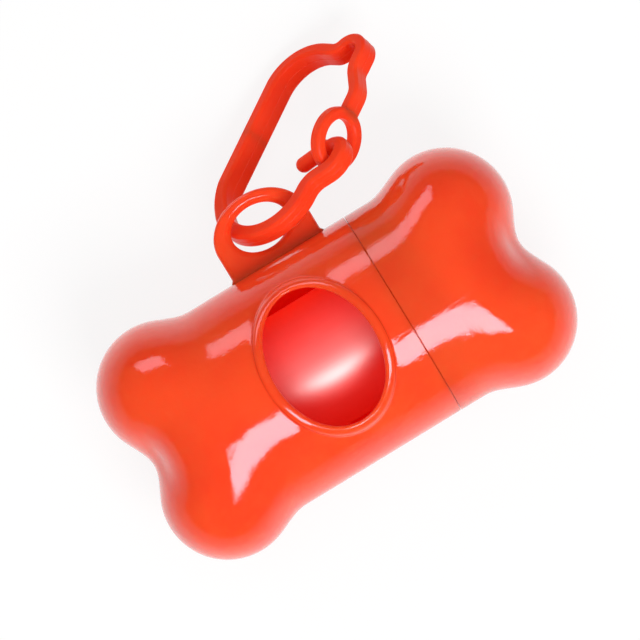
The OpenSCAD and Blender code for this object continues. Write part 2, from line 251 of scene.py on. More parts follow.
def open_patch(bm, radius, room):
    """Delete the grid's faces round the window at this radius; the open edges come back."""
    half_w, half_l = WINDOW_W / 2 + room, WINDOW_L / 2 + room
    def inside(vert):
        x, y, z = vert.co.x - WINDOW_X, vert.co.y - WINDOW_Y, vert.co.z - axis_z
        on_wall = abs(math.hypot(vert.co.y, z) - radius) < ON_WALL
        return on_wall and z > 0 and abs(x) < half_w and abs(y) < half_l
    patch = [face for face in bm.faces if all(inside(vert) for vert in face.verts)]
    verts = {vert for face in patch for vert in face.verts}
    bmesh.ops.delete(bm, geom=patch, context="FACES")
    loose = [vert for vert in verts if vert.is_valid and not vert.link_faces]
    bmesh.ops.delete(bm, geom=loose, context="VERTS")
    return [edge for edge in bm.edges if edge.is_boundary]

def oval_place(angle, out, radius):
    x = WINDOW_X + (WINDOW_W / 2 + out) * math.cos(angle)
    y = WINDOW_Y + (WINDOW_L / 2 + out) * math.sin(angle)
    return Vector((x, y, axis_z + math.sqrt(radius * radius - y * y)))

def next_ring(bm, edges, known):
    """Extrude an open ring; each new vertex takes over what is known of the one it came from."""
    made = bmesh.ops.extrude_edge_only(bm, edges=edges)
    carried = {}
    for vert in new_items(made, bmesh.types.BMVert):
        old = next(edge.other_vert(vert) for edge in vert.link_edges if edge.other_vert(vert) in known)
        carried[vert] = known[old]
    return new_items(made, bmesh.types.BMEdge), carried

def draw_in(bm, edges, out, radius):
    """Carry the open patch in towards the oval, along the round wall of this radius."""
    verts = {vert for edge in edges for vert in edge.verts}
    half_w = max(abs(vert.co.x - WINDOW_X) for vert in verts)
    half_l = max(abs(vert.co.y - WINDOW_Y) for vert in verts)
    def angle_of(co):
        return math.atan2((co.y - WINDOW_Y) / half_l, (co.x - WINDOW_X) / half_w)
    known = {vert: (angle_of(vert.co), vert.co.copy()) for vert in verts}
    for step in range(1, DRAW_STEPS + 1):
        edges, known = next_ring(bm, edges, known)
        for vert, (angle, start) in known.items():
            place = start.lerp(oval_place(angle, out, radius), step / DRAW_STEPS)
            place.z = axis_z + math.sqrt(radius * radius - place.y * place.y)
            vert.co = place
    return edges, {vert: angle for vert, (angle, start) in known.items()}

print("window", round(WINDOW_W / mm, 1), "by", round(WINDOW_L / mm, 1), "mm")

# %% [markdown]
# A raised, rounded lip runs round the window and stiffens the thin edge. The oval edge climbs it: over
# a small fillet at its foot, up and over two rounded edges, and down the inner side. The bore gets
# the same hole a little wider, and a bridge joins the two edges through the wall.

# %% The window's lip
LIP_H = case_high.z - axis_z - SHAFT_R
LIP_W = 1.8 * mm
LIP_FOOT = 0.35 * mm
LIP_ROUND = 0.75 * mm
PATCH_ROOM = 0.8 * mm
DOWN_THE_WALL = (0.3, -0.6, -1.6, -2.6)
quarter = [math.pi / 2 * i / 6 for i in range(7)]
foot = [(LIP_W + LIP_FOOT * (1 - math.sin(a)), LIP_FOOT * (1 - math.cos(a)))
        for a in np.linspace(0, math.pi / 2, 6)[1:]]
outer_round = [(LIP_W - LIP_ROUND * (1 - math.cos(a)), LIP_H - LIP_ROUND * (1 - math.sin(a)))
               for a in quarter]
inner_round = [(LIP_ROUND * (1 - math.sin(a)), LIP_H - LIP_ROUND * (1 - math.cos(a))) for a in quarter]
wall = [(0, up * mm) for up in DOWN_THE_WALL]
edges = open_patch(case, SHAFT_R, LIP_W + LIP_FOOT + PATCH_ROOM)
lip_edge, angles = draw_in(case, edges, LIP_W + LIP_FOOT, SHAFT_R)
for out, up in foot + outer_round + inner_round + wall:
    lip_edge, angles = next_ring(case, lip_edge, angles)
    for vert, angle in angles.items():
        vert.co = oval_place(angle, out, SHAFT_R + up)
hole = [edge for edge in open_patch(case, BORE_R, PATCH_ROOM) if edge not in set(lip_edge)]
hole, angles = draw_in(case, hole, KEEP, BORE_R)
bmesh.ops.bridge_loops(case, edges=lip_edge + hole)
print("lip stands", round(LIP_H / mm, 2), "mm over the shaft; edges", len(lip_edge), len(hole))

# %% [markdown]
# The hanging tab is a flat plate with a rounded top, an oval eye and rounded edges. Its outline is
# found by rays from the middle of the eye, so that every ray has one place on the eye and one on
# the outline. Near the shaft the plate widens a little, as a moulding does at its root.

# %% The tab's outline and its eye
TAB_HALF_W = 9.15 * mm
TAB_REACH = 33 * mm
TAB_CROWN = 7.4 * mm
TAB_ROOT = 18.1 * mm
TAB_FILLET = 0.8 * mm
EYE_Y = 26.5 * mm
EYE_HALF_W = 5.45 * mm
EYE_HALF_L = 4.1 * mm
FARTHEST = 20 * mm
TAB_HALVINGS = 30

def flare(y):
    """How much the plate widens at each side, near the shaft."""
    rise = min(max(SHAFT_R + TAB_FILLET - y, 0), TAB_FILLET)
    return TAB_FILLET - math.sqrt(TAB_FILLET ** 2 - rise ** 2)

def tab_outline(angle):
    """Where a ray from the middle of the eye leaves the plate."""
    ray = Vector((math.cos(angle), math.sin(angle)))
    near, far = 0.0, FARTHEST
    for _ in range(TAB_HALVINGS):
        middle = (near + far) / 2
        x, y = ray.x * middle, EYE_Y + ray.y * middle
        if y > TAB_REACH - TAB_CROWN:
            inside = (x / TAB_HALF_W) ** 2 + ((y - TAB_REACH + TAB_CROWN) / TAB_CROWN) ** 2 < 1
        else:
            inside = y > TAB_ROOT and abs(x) < TAB_HALF_W + flare(y)
        near, far = (middle, far) if inside else (near, middle)
    return Vector((ray.x * near, EYE_Y + ray.y * near))

def tab_eye(angle):
    """Where the same ray enters the plate, at the eye's oval."""
    ray = Vector((math.cos(angle), math.sin(angle)))
    length = 1 / math.hypot(ray.x / EYE_HALF_W, ray.y / EYE_HALF_L)
    return Vector((ray.x * length, EYE_Y + ray.y * length))

print("tab reaches", round(TAB_REACH / mm, 1), "mm, its eye is", round(2 * EYE_HALF_W / mm, 1), "mm wide")

# %% [markdown]
# The plate is one closed skin. A ring of points starts in the eye, goes out over the front face to the
# outline, round the edge, and back to the eye over the rear face. The outline's edge is a quarter
# round. The eye's edge is larger and flatter, nearly a bevel, because the clip's bar turns in it.

# %% Rings over the tab
TAB_SIDES = 192
TAB_HALF_T = 1.4 * mm
TAB_SWELL = 0.15
RIM_EDGE = 0.75 * mm
EYE_EDGE = 1.15 * mm
EYE_EDGE_POWER = 1.5
FACE_SHARES = np.linspace(0.03, 0.97, 32)

def edge_profile(size, power):
    """Steps from an edge's wall over to the face: way in from the edge, and depth below the face."""
    return [(size * (1 - math.cos(a) ** power), size * (1 - math.sin(a) ** power)) for a in quarter]

def tab_rings():
    at_eye = edge_profile(EYE_EDGE, EYE_EDGE_POWER)
    at_rim = edge_profile(RIM_EDGE, 1)
    angles = [2 * math.pi * i / TAB_SIDES for i in range(TAB_SIDES)]
    ends = [(tab_eye(a), tab_outline(a)) for a in angles]
    def level(place, side, drop):
        height = TAB_HALF_T + TAB_SWELL * flare(place.y) - drop
        return Vector((place.x, place.y, axis_z + side * height))
    def face_rings(side):
        rings = []
        for way_in, drop in at_eye:
            rings.append([level(a + (b - a).normalized() * way_in, side, drop) for a, b in ends])
        for share in FACE_SHARES:
            inset = [(a + (b - a).normalized() * EYE_EDGE, b - (b - a).normalized() * RIM_EDGE)
                     for a, b in ends]
            rings.append([level(a.lerp(b, share), side, 0) for a, b in inset])
        for way_in, drop in reversed(at_rim):
            rings.append([level(b - (b - a).normalized() * way_in, side, drop) for a, b in ends])
        return rings
    return face_rings(1) + face_rings(-1)[::-1]

tab = tab_rings()
print("the tab has", len(tab), "rings of", TAB_SIDES, "points")

# %% [markdown]
# One helper lofts a skin through rings of points. It starts from a circle with as many vertices as
# the rings have, sets them to the first ring, and extrudes from ring to ring. The ends are
# capped, or the last ring is bridged to the first where the skin closes on itself.

# %% A loft, and the case finished
def loft(bm, rings, around=False):
    row = list(bmesh.ops.create_circle(bm, segments=len(rings[0]), radius=1)["verts"])
    for vert, place in zip(row, rings[0]):
        vert.co = place
    first_edges = edges = list(dict.fromkeys(edge for vert in row for edge in vert.link_edges))
    for points in rings[1:]:
        made = bmesh.ops.extrude_edge_only(bm, edges=edges)
        edges = new_items(made, bmesh.types.BMEdge)
        new = set(new_items(made, bmesh.types.BMVert))
        row = [next(edge.other_vert(vert) for edge in vert.link_edges if edge.other_vert(vert) in new)
               for vert in row]
        for vert, place in zip(row, points):
            vert.co = place
    if around:
        bmesh.ops.bridge_loops(bm, edges=first_edges + edges)
    else:
        bmesh.ops.edgeloop_fill(bm, edges=first_edges)
        bmesh.ops.edgeloop_fill(bm, edges=edges)

loft(case, tab, around=True)
case_shell = finished("case_shell", case)
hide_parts("main_case")
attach(case_shell, "case")

# %% [markdown]
# The end cap is the other side of the seam, made the same way. Its mouth is bored a little wider for
# the neck, and a step inside leads to the bore for the end of the roll. The gap at the seam shows as
# a thin dark line.

# %% The end cap
SEAM_GAP = 0.1 * mm
NECK_CLEAR = 0.05 * mm
MOUTH_IN = 0.3 * mm
MOUTH_OUT = 0.4 * mm
CAP_STEP = 8 * mm
cap = bmesh.new()
bone_skin(cap)
mouth_x = SEAM_X + SEAM_GAP
step_x = SEAM_X + CAP_STEP
sleeve_r = NECK_R + NECK_CLEAR
ring = seam_ring(cap, mouth_x + SEAM_EDGE, -1)
places = round_corner(mouth_x + SEAM_EDGE, SHAFT_R, -1, SEAM_EDGE)
places += [(mouth_x, NECK_R + MOUTH_OUT), (mouth_x + MOUTH_IN, sleeve_r)]
places += [(mouth_x + MOUTH_IN + KEEP, sleeve_r)]
places += [(step_x - KEEP, sleeve_r), (step_x, sleeve_r), (step_x, NECK_R - KEEP)]
places += [(step_x, BORE_R + KEEP / 2), (step_x, BORE_R), (step_x + KEEP, BORE_R)]
places += [(BORE_END - BORE_CORNER, BORE_R)]
places += round_corner(BORE_END - BORE_CORNER, BORE_R, 1, BORE_CORNER)
places += [(BORE_END, BORE_R * share) for share in END_SHARES]
for x, radius in places:
    ring = carry_ring(cap, ring, x, radius)
bmesh.ops.edgeloop_fill(cap, edges=ring)
cap_shell = finished("cap_shell", cap)
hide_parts("end_cap")
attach(cap_shell, "cap")

# %% [markdown]
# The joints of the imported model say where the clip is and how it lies. Its bar turns in the eye of
# the tab about one axis, and its gate opens about another. The two axes and their cross product are
# the clip's own three directions, so the clip can be drawn flat and then set in place.

# %% The clip's own directions
joints = {joint["name"]: joint for joint in frame["joints"]}
clip_origin = Vector(joints["clip_swing"]["pos_m"])
clip_w = Vector(joints["clip_swing"]["axis"]).normalized()
clip_n = -Vector(joints["gate_open"]["axis"]).normalized()
clip_l = clip_n.cross(clip_w)

def in_clip(x, y, out):
    """A place in millimetres across, along and out of the clip's drawing."""
    return clip_origin + (clip_w * x + clip_l * y + clip_n * out) * mm

print("clip directions", [round(v, 3) for v in clip_w], [round(v, 3) for v in clip_l])

# %% [markdown]
# A bar of the clip is a run of stations, each with a place in the flat drawing and a section. The
# section is a rectangle with bevelled, softened corners and a fine ridge in the middle of its outer
# and inner sides, where the two halves of the mould met. Points beside the corners and the
# ridge hold the flats flat under smooth shading.

# %% The section of a bar
CORNER_STEPS = 6
CORNER_POWER = 1.5
RIDGE_HALF = 0.13
RIDGE_UP = 0.05
RIDGE_SHARE, BESIDE_SHARE = 0.5, 0.7
SUPPORT, SUPPORT_SHARE = 0.06, 0.9

def section(thick, wide, corner):
    """Points round a bar, as steps across the thickness and across the width."""
    half_t, half_w = thick / 2, wide / 2
    corner = min(corner, half_t, half_w)
    power = CORNER_POWER if corner < half_t - SUPPORT else 1
    flat_t, flat_w = half_t - corner, half_w - corner
    up = RIDGE_UP if flat_w > RIDGE_HALF + 2 * SUPPORT else 0
    points = []
    for turn in range(4):
        sx = 1 if turn in (0, 3) else -1
        sy = 1 if turn in (0, 1) else -1
        turns = [math.pi / 2 * (turn + i / CORNER_STEPS) for i in range(CORNER_STEPS + 1)]
        bend = [(sx * (flat_t + corner * abs(math.cos(a)) ** power),
                 sy * (flat_w + corner * abs(math.sin(a)) ** power)) for a in turns]
        upright = (sx * half_t, sy * max(flat_w - SUPPORT, flat_w * SUPPORT_SHARE))
        level = (sx * max(flat_t - SUPPORT, flat_t * SUPPORT_SHARE), sy * half_w)
        points += [upright] + bend + [level] if turn in (0, 2) else [level] + bend + [upright]
        if turn in (1, 3):
            low = min(RIDGE_HALF, flat_w * RIDGE_SHARE)
            beside = min(RIDGE_HALF + SUPPORT, flat_w * BESIDE_SHARE)
            crest = [(sx * half_t, beside), (sx * half_t, low), (sx * (half_t + up), 0),
                     (sx * half_t, -low), (sx * half_t, -beside)]
            points += crest if turn == 1 else crest[::-1]
    return points

print("a section has", len(section(2, 4, 0.6)), "points")

# %% [markdown]
# Arcs and straight lines make up the clip's drawing. Along a run, thickness, width and corner go
# evenly from a first section to a last one. A curve object with a bevel could do this as well, but
# it keeps one section all the way, and this clip's bar changes its section as it goes.

# %% Runs of stations
def arc(center, radius, start, end, steps):
    turns = [math.radians(start + (end - start) * i / steps) for i in range(steps + 1)]
    return [(center[0] + radius * math.cos(a), center[1] + radius * math.sin(a)) for a in turns]

def run(points, start, end):
    last = max(len(points) - 1, 1)
    return [(Vector(place), [a + (b - a) * i / last for a, b in zip(start, end)])
            for i, place in enumerate(points)]

def bar_rings(stations):
    """The section of each station, turned square to the run and set in the clip's place."""
    rings = []
    for i, (place, size) in enumerate(stations):
        before = stations[max(i - 1, 0)][0]
        after = stations[min(i + 1, len(stations) - 1)][0]
        heading = (after - before).normalized()
        side = Vector((heading.y, -heading.x))
        rings.append([in_clip(*(place + side * u), v) for u, v in section(*size)])
    return rings

def step_aside(across, radius, turn):
    """Height of each arc and of the slope between two arcs that shift a bar sideways."""
    rise = radius * math.sin(math.radians(turn))
    aside = radius * (1 - math.cos(math.radians(turn)))
    return rise, (across - 2 * aside) / math.tan(math.radians(turn))

print("a quarter turn in 6 steps has", len(arc((0, 0), 1, 0, 90, 6)), "stations")

# %% [markdown]
# The clip bends in two places: at the corner below the spine, where the hooked arm flexes, and at the
# hinge loop above the gate. Each piece here is one skin over both sides of its joint. The two skins meet
# in the straight spine, which stays stiff. The lower one runs down the spine, round the bend through the
# eye, up the stepped arm and over the crook.

# %% The lower spine, the bend and the hooked arm
SPINE_W, SPINE_T = 5.4, 2.42
ARM_W, ARM_T = 3.6, 2.9
CORNER = 0.6
BEND_R, BEND_X = 9.7, -3.3
SPINE_X = BEND_X - BEND_R
SPINE_CUT = 20.0
FLEX_ANGLE = 215
ARM_X = BEND_X + BEND_R
ARM_STEP = 4.4
ARM_TURN, ARM_ARC_R = 50, 4.2
RING_L = 21.05
CROOK_R, CROOK_DROP, CROOK_TURN = 2.6, 3.65, 135
PEG_D, PEG_LEN = 2.9, 6.9
spine_size = (SPINE_T, SPINE_W, CORNER)
arm_size = (ARM_T, ARM_W, CORNER)
peg_size = (PEG_D, PEG_D, PEG_D / 2)
bend_c = (BEND_X, BEND_R)
arm_rise, arm_slope = step_aside(ARM_STEP, ARM_ARC_R, ARM_TURN)
arm_top = bend_c[1] + 2 * arm_rise + arm_slope
crook_c = (ARM_X + ARM_STEP - CROOK_R, RING_L - CROOK_DROP)
spine_down = [(SPINE_X, SPINE_CUT - (SPINE_CUT - bend_c[1]) * i / 8) for i in range(9)]
lower = run(spine_down, spine_size, spine_size)
lower += run(arc(bend_c, BEND_R, 183, FLEX_ANGLE, 14), spine_size, arm_size)
lower += run(arc(bend_c, BEND_R, FLEX_ANGLE + 2, 358, 60), arm_size, arm_size)
lower += run(arc((ARM_X + ARM_ARC_R, bend_c[1]), ARM_ARC_R, 180, 180 - ARM_TURN, 10), arm_size, arm_size)
arm_arc_x = ARM_X + ARM_STEP - ARM_ARC_R
lower += run(arc((arm_arc_x, arm_top), ARM_ARC_R, -ARM_TURN, 0, 10), arm_size, arm_size)
lower += run(arc(crook_c, CROOK_R, 4, CROOK_TURN, 20), arm_size, peg_size)
print("stations of the bend and the arm", len(lower))

# %% [markdown]
# The crook ends in a round peg with a domed tip, which keeps the gate's ring from slipping off. A ball
# could be joined on, but it would leave a seam, so the last stations shrink like slices of a ball.

# %% The peg, and the lower part finished
TIP_STEPS = 8
peg_start = lower[-1][0]
peg_way = Vector((-math.sin(math.radians(CROOK_TURN)), math.cos(math.radians(CROOK_TURN))))
peg_round = peg_start + peg_way * (PEG_LEN - PEG_D / 2)
lower += run([peg_start + peg_way * 0.4, peg_start + peg_way * 1.5, peg_round], peg_size, peg_size)
for i in range(1, TIP_STEPS):
    a = math.pi / 2 * i / TIP_STEPS
    lower.append((peg_round + peg_way * PEG_D / 2 * math.sin(a), [PEG_D * math.cos(a)] * 2 + [PEG_D / 2]))
bm = bmesh.new()
loft(bm, bar_rings(lower))
clip_lower = finished("clip_lower", bm)
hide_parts("clip_hook_arm", "clip_frame")
in_clip(-10.2, 4, 0)
in_clip(-12.4, 4, 0)
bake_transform(clip_lower)

# %% [markdown]
# The upper part goes up the spine, round the crown, down into a narrow throat and round the hinge
# loop. There the bar becomes the thinner gate, which steps aside and runs down to its ring.

# %% The upper spine, the hinge loop and the gate
CROWN_R, CROWN_L = 8.3, 38.6
CROWN_SHARE, THROAT_SHARE = 0.88, 0.85
LOOP_T, LOOP_W = 2.1, 4.2
LOOP_R, LOOP_X, LOOP_TURN = 2.8, 1.6, 150
LOOP_BELOW, GATE_BELOW = 0.2, 2.1
GATE_W, GATE_T = 3.6, 2.2
GATE_TURN, GATE_ARC_R = 35, 4
RING_X = 7.4
RING_HALF_L, RING_HALF_W = 4.93, 4.4
crown_c = (SPINE_X + CROWN_R, CROWN_L - CROWN_R)
loop_c = (LOOP_X, CROWN_L - LOOP_BELOW)
loop_end = arc(loop_c, LOOP_R, LOOP_TURN, LOOP_TURN, 1)[0]
throat_turn = LOOP_TURN - 90
throat_r = (loop_end[1] - CROWN_L) / (1 - math.cos(math.radians(throat_turn)))
throat_c = (loop_end[0] - throat_r * math.sin(math.radians(throat_turn)), CROWN_L + throat_r)
crown_size = (SPINE_T, SPINE_W * CROWN_SHARE, CORNER)
throat_size = (SPINE_T, SPINE_W * THROAT_SHARE, 0.55)
loop_size = (LOOP_T, LOOP_W, 0.45)
gate_size = (GATE_T, GATE_W, 0.5)
gate_x = LOOP_X + LOOP_R
gate_top = loop_c[1] - GATE_BELOW
gate_rise, gate_slope = step_aside(RING_X - gate_x, GATE_ARC_R, GATE_TURN)
gate_low = gate_top - 2 * gate_rise - gate_slope
spine_up = [(SPINE_X, SPINE_CUT + (crown_c[1] - SPINE_CUT) * i / 6) for i in range(7)]
upper = run(spine_up, spine_size, spine_size)
upper += run(arc(crown_c, CROWN_R, 178, 92, 40), spine_size, crown_size)
upper += run(arc(throat_c, throat_r, -90, throat_turn - 90, 10), throat_size, loop_size)
upper += run(arc(loop_c, LOOP_R, LOOP_TURN - 3, 0, 36), loop_size, loop_size)
gate_arc_c = (gate_x + GATE_ARC_R, gate_top)
upper += run(arc(gate_arc_c, GATE_ARC_R, 180, 180 + GATE_TURN, 8), loop_size, gate_size)
upper += run(arc((RING_X - GATE_ARC_R, gate_low), GATE_ARC_R, GATE_TURN, 0, 8), gate_size, gate_size)
upper += run([(RING_X, gate_low - 1), (RING_X, RING_L + RING_HALF_L)], gate_size, gate_size)
bm = bmesh.new()
loft(bm, bar_rings(upper))
print("stations of the crown, the loop and the gate", len(upper))

# %% [markdown]
# The ring stands square to the gate and closes over the hook. A torus has one round section, but this
# ring is oval and flat-sided, so it is a loft that goes once round an oval and ends where it began.

# %% The gate's ring, and the upper part finished
RING_STEPS = 96
RING_WALL, RING_DEEP, RING_CORNER = 2.15, 2.4, 0.5

def hoop_rings():
    rings = []
    for i in range(RING_STEPS):
        a = -2 * math.pi * i / RING_STEPS
        place = Vector((RING_HALF_L * math.sin(a), RING_HALF_W * math.cos(a)))
        out = Vector((RING_HALF_W * math.sin(a), RING_HALF_L * math.cos(a))).normalized()
        rings.append([in_clip(RING_X + v, RING_L + (place + out * u).x, (place + out * u).y)
                      for u, v in section(RING_WALL, RING_DEEP, RING_CORNER)])
    return rings

loft(bm, hoop_rings(), around=True)
clip_upper = finished("clip_upper", bm)
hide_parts("clip_gate", "clip_frame")
in_clip(0.2, 38, 0)
in_clip(3.0, 38, 0)
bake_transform(clip_upper)

# %% [markdown]
# The roll of bags is a wound cylinder on a card tube. Both are turned, so a closed profile is spun
# once about the roll's axis. The frame says where they are and how thick.

# %% The bag roll and its core
film_low, film_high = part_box("bag_film")
core_low, core_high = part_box("roll_core")
roll_z = (film_high.z + film_low.z) / 2
roll_r = (film_high.y - film_low.y) / 2
roll_half = (film_high.x - film_low.x) / 2
core_r = (core_high.y - core_low.y) / 2
core_half = (core_high.x - core_low.x) / 2
CORE_WALL = 0.8 * mm
CORE_CLEAR = 0.02 * mm
ROLL_EDGE = 0.5 * mm
ROLL_EDGE_MID = 0.3 * ROLL_EDGE

def turned(name, profile, steps):
    """Spin a closed profile of (place along the roll, radius) about the roll's axis."""
    bm = bmesh.new()
    verts = [bm.verts.new((x, radius, roll_z)) for x, radius in profile]
    edges = [bm.edges.new((verts[i], verts[(i + 1) % len(verts)])) for i in range(len(verts))]
    bmesh.ops.spin(bm, geom=verts + edges, cent=(0, 0, roll_z), axis=(1, 0, 0), angle=2 * math.pi,
                   steps=steps, use_merge=True)
    return finished(name, bm)

core_out = core_r + CORE_CLEAR
film_profile = [(-roll_half, core_out), (roll_half, core_out), (roll_half, roll_r - ROLL_EDGE),
                (roll_half - ROLL_EDGE_MID, roll_r - ROLL_EDGE_MID), (roll_half - ROLL_EDGE, roll_r),
                (0, roll_r), (ROLL_EDGE - roll_half, roll_r),
                (ROLL_EDGE_MID - roll_half, roll_r - ROLL_EDGE_MID), (-roll_half, roll_r - ROLL_EDGE)]
bag_roll = turned("bag_roll", film_profile, 144)
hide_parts("bag_film")
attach(bag_roll, "roll")
core_profile = [(-core_half, core_r - CORE_WALL), (core_half, core_r - CORE_WALL),
                (core_half, core_r), (-core_half, core_r)]
card_core = turned("card_core", core_profile, 96)
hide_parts("roll_core")
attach(card_core, "roll")

# %% [markdown]
# The photograph looks straight down on the bone, which lies turned by 31.4 degrees. A long lens gives
# the same flat view and still lets the near parts look a little larger.

# %% Camera
PHOTO_TURN = math.radians(-31.4)
PHOTO_WIDTH = 114.4 * mm
PHOTO_MIDDLE = (0.57 * mm, 6.69 * mm)
CAMERA_FAR = 1000 * mm
camera_data = bpy.data.cameras.new("photo_camera")
camera_data.sensor_width = 36
camera_data.lens = camera_data.sensor_width * CAMERA_FAR / PHOTO_WIDTH
camera_data.clip_start = 0.01
camera = bpy.data.objects.new("photo_camera", camera_data)
camera.location = (*PHOTO_MIDDLE, axis_z + CAMERA_FAR)
camera.rotation_euler = (0, 0, PHOTO_TURN)
scene.collection.objects.link(camera)
scene.camera = camera
print("lens", round(camera_data.lens, 1), "mm")

# %% [markdown]
# Colours and finishes are node trees. They could be wired by hand in the shader editor; here the maths
# is written as plain expressions, which are easier to read and to change. A Field wraps one socket,
# and a sum or a product of Fields adds the Math node for it. The reflected forms let a plain number
# come first, as in 1 - mask.

# %% Fields
class Field:
    """One output of a node tree; arithmetic on it adds Math nodes."""
    def __init__(self, tree, socket):
        self.tree = tree
        self.socket = socket

    def maths(self, operation, first, second):
        node = self.tree.nodes.new("ShaderNodeMath")
        node.operation = operation
        connect(self.tree, node.inputs[0], first)
        connect(self.tree, node.inputs[1], second)
        return Field(self.tree, node.outputs[0])

    def __add__(self, other):
        return self.maths("ADD", self, other)

    def __sub__(self, other):
        return self.maths("SUBTRACT", self, other)

    def __rsub__(self, other):
        return self.maths("SUBTRACT", other, self)

    def __mul__(self, other):
        return self.maths("MULTIPLY", self, other)

    def __truediv__(self, other):
        return self.maths("DIVIDE", self, other)

    def __rtruediv__(self, other):
        return self.maths("DIVIDE", other, self)

    __radd__ = __add__
    __rmul__ = __mul__

def connect(tree, socket, value):
    """Link a Field to a socket, or set a plain value on it."""
    if isinstance(value, Field):
        tree.links.new(value.socket, socket)
    else:
        socket.default_value = value

print("a Field takes + - * / with a number on either side")

# %% [markdown]
# A Look is a material, or the world. Its node method adds any other kind of node: it sets the node's
# properties and a ramp's stops first, then its sockets, and hands back one output as a Field. The
# short methods below it name the few nodes that every finish needs: ramp, mix, noise and bump.

# %% Looks
def set_stops(ramp, stops):
    """Give a colour ramp smooth stops of grey, each as (place, level)."""
    ramp.interpolation = "EASE"
    ramp.elements[0].position = stops[0][0]
    ramp.elements[1].position = stops[-1][0]
    for place, level in stops[1:-1]:
        ramp.elements.new(place)
    for element, (place, level) in zip(ramp.elements, stops):
        element.color = (level, level, level, 1)

class Look:
    """A material, or a world, whose nodes are added one call at a time."""
    def __init__(self, name, owner=None):
        self.data = owner or bpy.data.materials.new(name)
        self.data.use_nodes = True
        self.tree = self.data.node_tree

    def node(self, kind, inputs=(), output=0, stops=(), **settings):
        node = self.tree.nodes.new(kind)
        for key, value in settings.items():
            setattr(node, key, value)
        if stops:
            set_stops(node.color_ramp, stops)
        for key, value in dict(inputs).items():
            connect(self.tree, node.inputs[key], value)
        return Field(self.tree, node.outputs[output])

    def finish(self, shader, inputs):
        for key, value in inputs.items():
            connect(self.tree, self.tree.nodes[shader].inputs[key], value)
        return self.data

    def ramp(self, value, stops):
        return self.node("ShaderNodeValToRGB", {0: value}, stops=stops)

    def mix_color(self, share, first, second):
        return self.node("ShaderNodeMix", {0: share, 6: first, 7: second}, output=2, data_type="RGBA")

    def place(self):
        return self.node("ShaderNodeTexCoord", output="Object")

    def noise(self, place, size, detail=2.0, stretch=None):
        """Noise whose blots are about this size; stretch draws them out along the axes."""
        if stretch:
            place = self.node("ShaderNodeVectorMath", {0: place, 1: stretch}, operation="MULTIPLY")
        return self.node("ShaderNodeTexNoise", {"Vector": place, "Scale": 1 / size, "Detail": detail})

    def bump(self, height, far, normal=None):
        """Raised by height, from 0 to 1, times a real distance."""
        inputs = {"Height": height, "Distance": far, "Strength": 1.0}
        if normal:
            inputs["Normal"] = normal
        return self.node("ShaderNodeBump", inputs)

def count_nodes(data):
    print(data.name, "has", len(data.node_tree.nodes), "nodes")

# %% [markdown]
# The shell is glossy moulded plastic, red with a turn to orange. Up close it isn't a perfect mirror:
# the mould leaves a very fine grain, the wall sinks in soft waves as it cools, and handling adds faint
# hairlines. The colour itself drifts a little where the melt flowed. A photograph wrapped round the
# shell could give this too, but noise has no seams and fits any shape. The clip has the same make-up
# with a duller gloss. Both let some light in, so their shade stays a warm, deep red.

# %% Moulded plastic
FLOW, WAVES, SMUDGES = 14 * mm, 2.4 * mm, 9 * mm
GRAIN, HAIRLINES = 0.5 * mm, 1 * mm
HAIRLINE_STRETCH = (0.05, 1.6, 1.0)
HAIRLINE_DEPTH = 0.15
PLASTIC_IOR = 1.58
SHEEN_TINT = (1.0, 0.83, 1.0, 1)
DEEP_LIGHT = (1.0, 0.12, 0.05)
DEEP_REACH = 5 * mm

def moulded(name, gloss, grain, waves, shine, glow, colors):
    look = Look(name)
    place = look.place()
    flow = look.noise(place, FLOW, 3)
    color = look.mix_color(look.ramp(flow, [(0.35, 0), (0.7, 1)]), *colors)
    fine = look.noise(place, GRAIN, 2)
    soft = look.noise(place, WAVES, 3)
    scratch = look.noise(place, HAIRLINES, 1, stretch=HAIRLINE_STRETCH)
    scratch_mask = look.ramp(scratch, [(0.66, 0), (0.72, 1)])
    smudge = look.noise(place, SMUDGES, 4)
    rough = gloss + 0.05 * look.ramp(smudge, [(0.4, 0), (0.75, 1)]) + 0.08 * scratch_mask
    normal = look.bump(soft, waves)
    normal = look.bump(fine - HAIRLINE_DEPTH * scratch_mask, grain, normal)
    return look.finish("Principled BSDF", {
        "Base Color": color, "Roughness": rough, "Normal": normal, "IOR": PLASTIC_IOR,
        "Specular IOR Level": shine, "Specular Tint": SHEEN_TINT,
        "Subsurface Weight": glow, "Subsurface Radius": DEEP_LIGHT, "Subsurface Scale": DEEP_REACH})

shell = moulded("shell_plastic", gloss=0.06, grain=0.02 * mm, waves=0.06 * mm, shine=0.5, glow=0.6,
                colors=((0.95, 0.080, 0.018, 1), (0.91, 0.062, 0.015, 1)))
clip_look = moulded("clip_plastic", gloss=0.28, grain=0.012 * mm, waves=0.02 * mm, shine=0.09,
                    glow=0.5, colors=((0.97, 0.062, 0.016, 1), (0.93, 0.050, 0.013, 1)))
count_nodes(shell)
count_nodes(clip_look)

# %% [markdown]
# The bags are thin film, wound tight. The edges of the turns run round the roll as fine bands, and a
# milky sheen lies over a strong red. Real film could be modelled turn by turn, but at this size only its
# bands are seen, so noise stretched round the roll draws them. A rough coat gives the sheen. A painted
# glow, a little light of the film's own, stands in for the light that reaches the roll through the red
# shell and passes from turn to turn.

# %% Bag film
BANDS_SIZE = 1.6 * mm
BANDS_STRETCH = (0.08, 1.0, 1.0)
CRINKLES = 0.5 * mm

